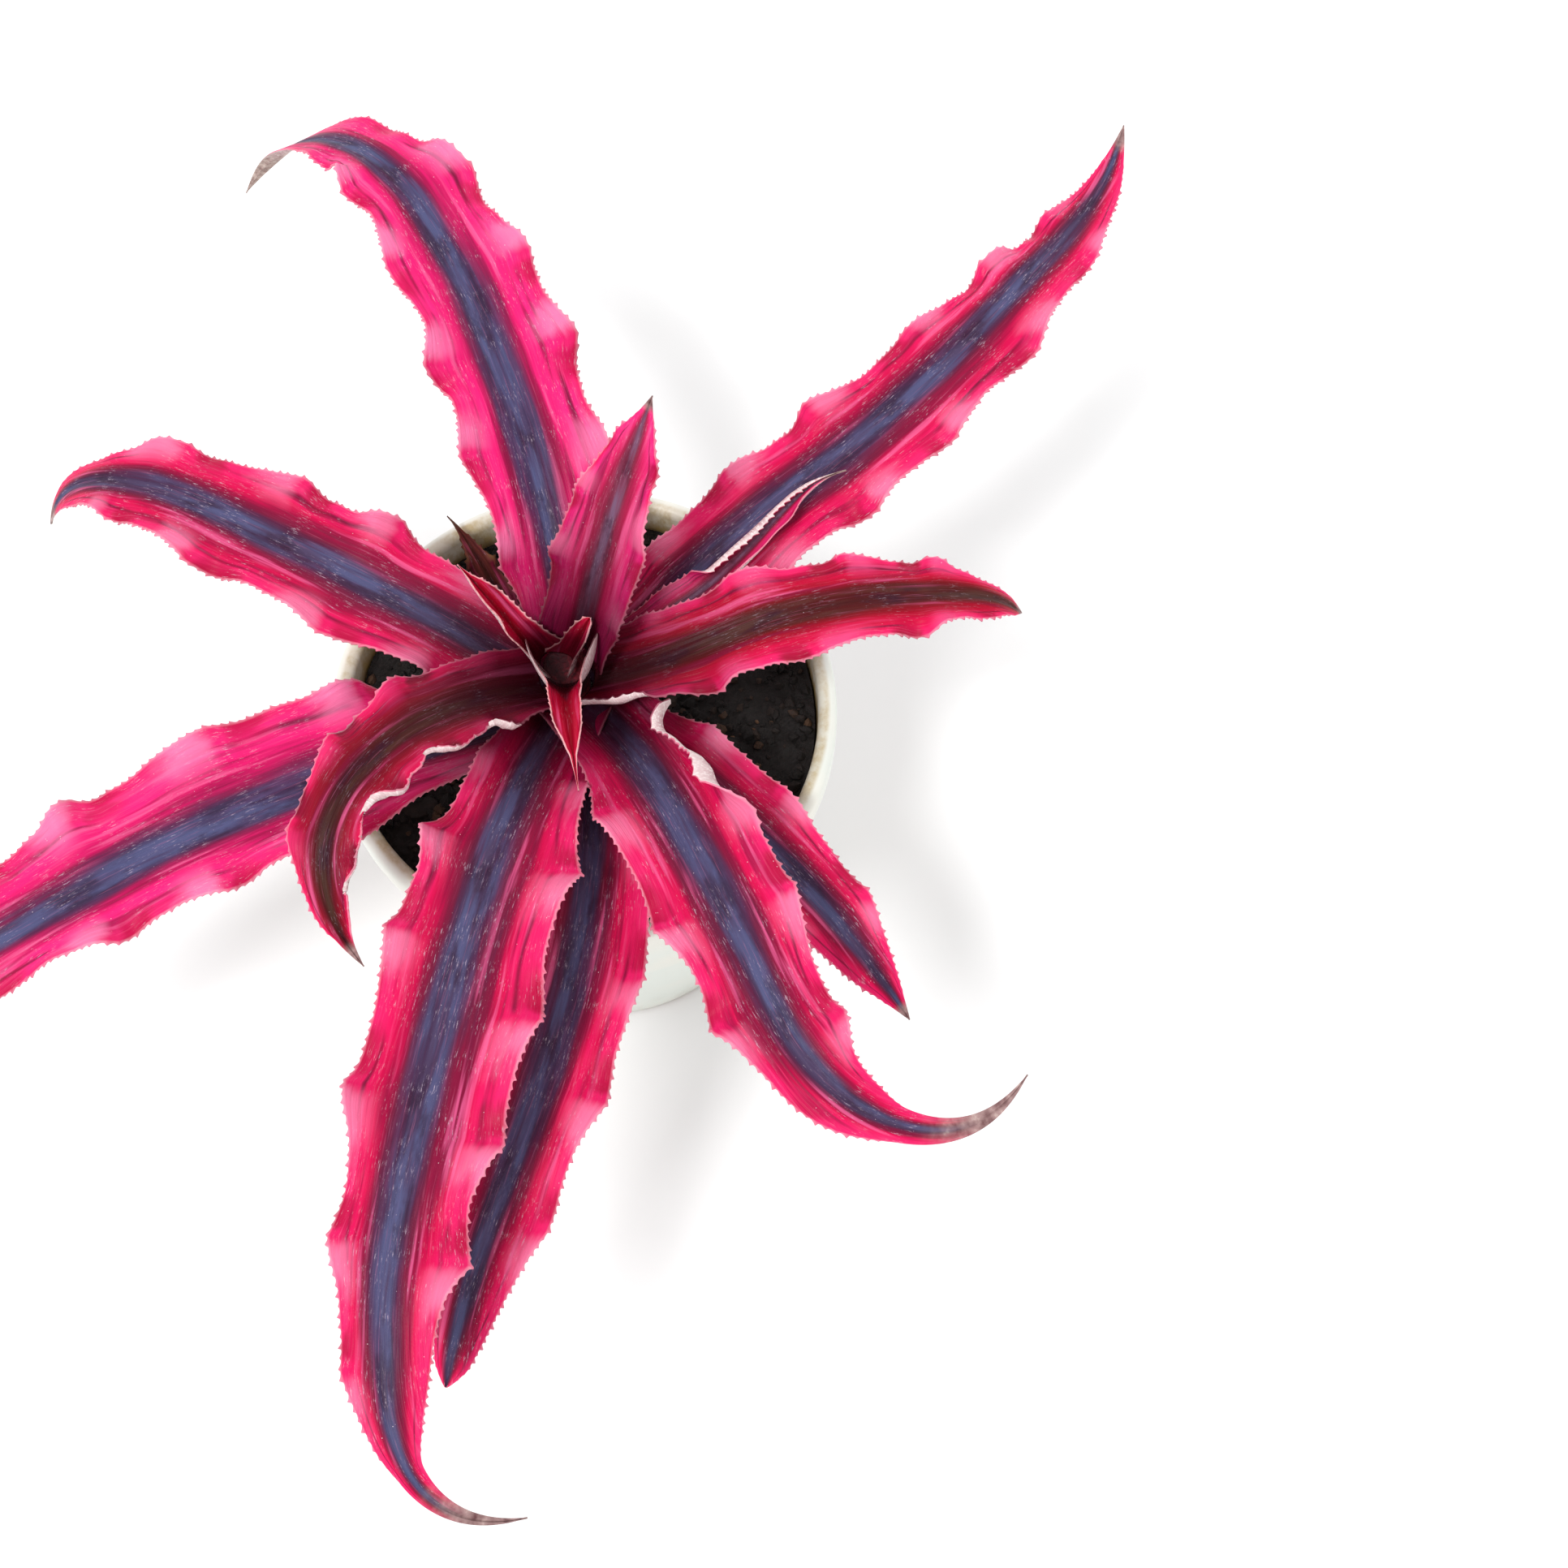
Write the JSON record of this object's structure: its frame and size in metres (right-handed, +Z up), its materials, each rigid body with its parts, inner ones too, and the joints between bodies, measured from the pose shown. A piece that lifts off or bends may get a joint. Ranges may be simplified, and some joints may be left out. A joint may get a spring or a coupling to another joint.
{
  "type": "potted bromeliad",
  "caption": "Low star-shaped bromeliad rosette with long ruffled pink leaves, in a round tapered nursery pot filled with dark soil.",
  "frame": {"origin": "centre of the pot's flat underside", "axes": "+Z up out of the pot; -Y towards the longest front leaf"},
  "size_m": [0.269, 0.3089, 0.1606],
  "materials": {
    "pot_plastic": "satin",
    "soil": "matte",
    "stem_tissue": "matte",
    "pink_leaf": "satin",
    "young_leaf": "satin",
    "dead_leaf": "matte"
  },
  "bodies": {
    "root": {"pot": "pot_plastic", "potting_soil": "soil", "stem": "stem_tissue", "leaf_back_left": "pink_leaf", "leaf_left": "pink_leaf", "leaf_low_left": "pink_leaf", "leaf_mid_left": "young_leaf", "leaf_front": "pink_leaf", "leaf_front_low": "pink_leaf", "leaf_front_right": "pink_leaf", "leaf_low_right": "pink_leaf", "leaf_right": "young_leaf", "leaf_back_right": "pink_leaf", "leaf_hidden_right": "pink_leaf", "leaf_inner_back": "young_leaf", "leaf_inner_left": "young_leaf", "leaf_inner_front": "young_leaf", "leaf_heart": "young_leaf", "withered_leaf": "dead_leaf"}
  },
  "joints": []
}
